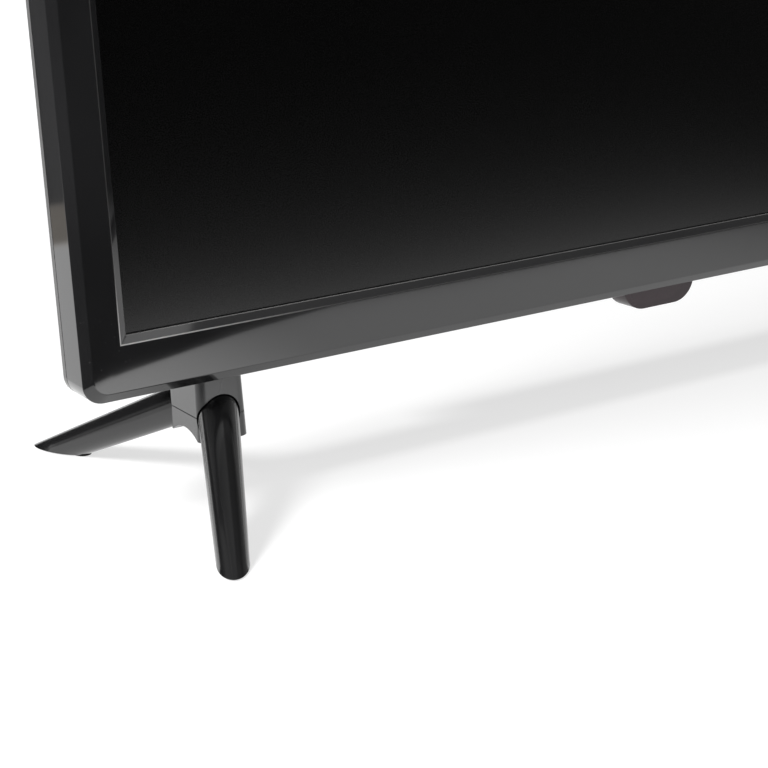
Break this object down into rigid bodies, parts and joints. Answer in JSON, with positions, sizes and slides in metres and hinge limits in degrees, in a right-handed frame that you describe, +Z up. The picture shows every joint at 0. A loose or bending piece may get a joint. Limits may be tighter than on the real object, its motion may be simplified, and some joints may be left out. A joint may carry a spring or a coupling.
{
  "type": "flat screen television",
  "caption": "Flat screen television with a glossy bevelled frame, a hanging remote window, rear keys, sockets and wall mount holes, on splayed two-leg stands.",
  "frame": {"origin": "on the floor, in the middle of the cabinet width and midway between the front and rear foot tips", "axes": "+X to the right of someone who looks at the screen, +Y towards the back of the set, +Z up; the screen faces -Y"},
  "size_m": [0.561, 0.1948, 0.3886],
  "materials": {
    "gloss_black": "polished gloss",
    "cover_black": "fine moulded texture",
    "screw_steel": "black zinc",
    "post_steel": "zinc plated sheet",
    "screen_glass": "anti-glare coating",
    "frame_plastic": "moulded",
    "film_sheet": "white film",
    "lamp_strip": "white solder mask",
    "lens_clear": "clear moulding",
    "circuit_board": "green solder mask",
    "chip_black": "moulded epoxy",
    "heatsink_aluminium": "extruded",
    "socket_metal": "tin plated",
    "pin_brass": "turned",
    "core_ferrite": "sintered",
    "winding_tape": "polyester tape",
    "soft_rubber": "foam rubber",
    "pad_rubber": "moulded rubber",
    "key_plastic": "satin moulding",
    "window_tint": "smoked translucent",
    "leg_gloss": "polished gloss",
    "saddle_plastic": "satin gloss"
  },
  "bodies": {
    "cabinet": {"audio_jacks": "frame_plastic", "backlight_tray": "post_steel", "board_link_cable": "film_sheet", "board_screws": "screw_steel", "cover_screws": "screw_steel", "diffuser_plate": "film_sheet", "foot_pads_left": "pad_rubber", "foot_pads_right": "pad_rubber", "front_bezel": "gloss_black", "front_leg_left": "leg_gloss", "front_leg_right": "leg_gloss", "hdmi_sockets": "socket_metal", "key_board": "circuit_board", "key_board_screws": "screw_steel", "key_switches": "frame_plastic", "lcd_cell": "screen_glass", "led_bars": "lamp_strip", "led_lenses": "lens_clear", "leg_screws_left": "screw_steel", "leg_screws_right": "screw_steel", "main_board": "circuit_board", "main_processor": "chip_black", "mains_inlet": "frame_plastic", "mains_inlet_pins": "pin_brass", "optical_films": "film_sheet", "panel_brackets": "post_steel", "panel_cable": "film_sheet", "panel_mid_frame": "frame_plastic", "panel_source_board": "circuit_board", "power_board": "circuit_board", "power_capacitors": "heatsink_aluminium", "processor_heatsink": "heatsink_aluminium", "rear_cover": "cover_black", "rear_leg_left": "leg_gloss", "rear_leg_right": "leg_gloss", "reflector_sheet": "film_sheet", "remote_window": "window_tint", "sensor_board": "circuit_board", "speaker_left": "frame_plastic", "speaker_mounts": "soft_rubber", "speaker_right": "frame_plastic", "stand_cap_left": "saddle_plastic", "stand_cap_right": "saddle_plastic", "stand_inserts": "pin_brass", "stand_saddle_left": "saddle_plastic", "stand_saddle_right": "saddle_plastic", "stand_screw_left": "screw_steel", "stand_screw_right": "screw_steel", "transformer_core": "core_ferrite", "transformer_winding": "winding_tape", "tuner_can": "socket_metal", "usb_socket": "socket_metal", "wall_mount_posts": "post_steel"},
    "power_key": {"key_power": "key_plastic"},
    "source_key": {"key_source": "key_plastic"},
    "menu_key": {"key_menu": "key_plastic"},
    "volume_up_key": {"key_volume_up": "key_plastic"},
    "volume_down_key": {"key_volume_down": "key_plastic"},
    "channel_up_key": {"key_channel_up": "key_plastic"},
    "channel_down_key": {"key_channel_down": "key_plastic"}
  },
  "joints": [
    {"name": "power_key_press", "type": "slide", "parent": "cabinet", "child": "power_key", "axis": [0, -1, 0], "range_m": [0, 0.0005], "stiffness_N_per_m": 800},
    {"name": "source_key_press", "type": "slide", "parent": "cabinet", "child": "source_key", "axis": [0, -1, 0], "range_m": [0, 0.0005], "stiffness_N_per_m": 800},
    {"name": "menu_key_press", "type": "slide", "parent": "cabinet", "child": "menu_key", "axis": [0, -1, 0], "range_m": [0, 0.0005], "stiffness_N_per_m": 800},
    {"name": "volume_up_key_press", "type": "slide", "parent": "cabinet", "child": "volume_up_key", "axis": [0, -1, 0], "range_m": [0, 0.0005], "stiffness_N_per_m": 800},
    {"name": "volume_down_key_press", "type": "slide", "parent": "cabinet", "child": "volume_down_key", "axis": [0, -1, 0], "range_m": [0, 0.0005], "stiffness_N_per_m": 800},
    {"name": "channel_up_key_press", "type": "slide", "parent": "cabinet", "child": "channel_up_key", "axis": [0, -1, 0], "range_m": [0, 0.0005], "stiffness_N_per_m": 800},
    {"name": "channel_down_key_press", "type": "slide", "parent": "cabinet", "child": "channel_down_key", "axis": [0, -1, 0], "range_m": [0, 0.0005], "stiffness_N_per_m": 800}
  ]
}
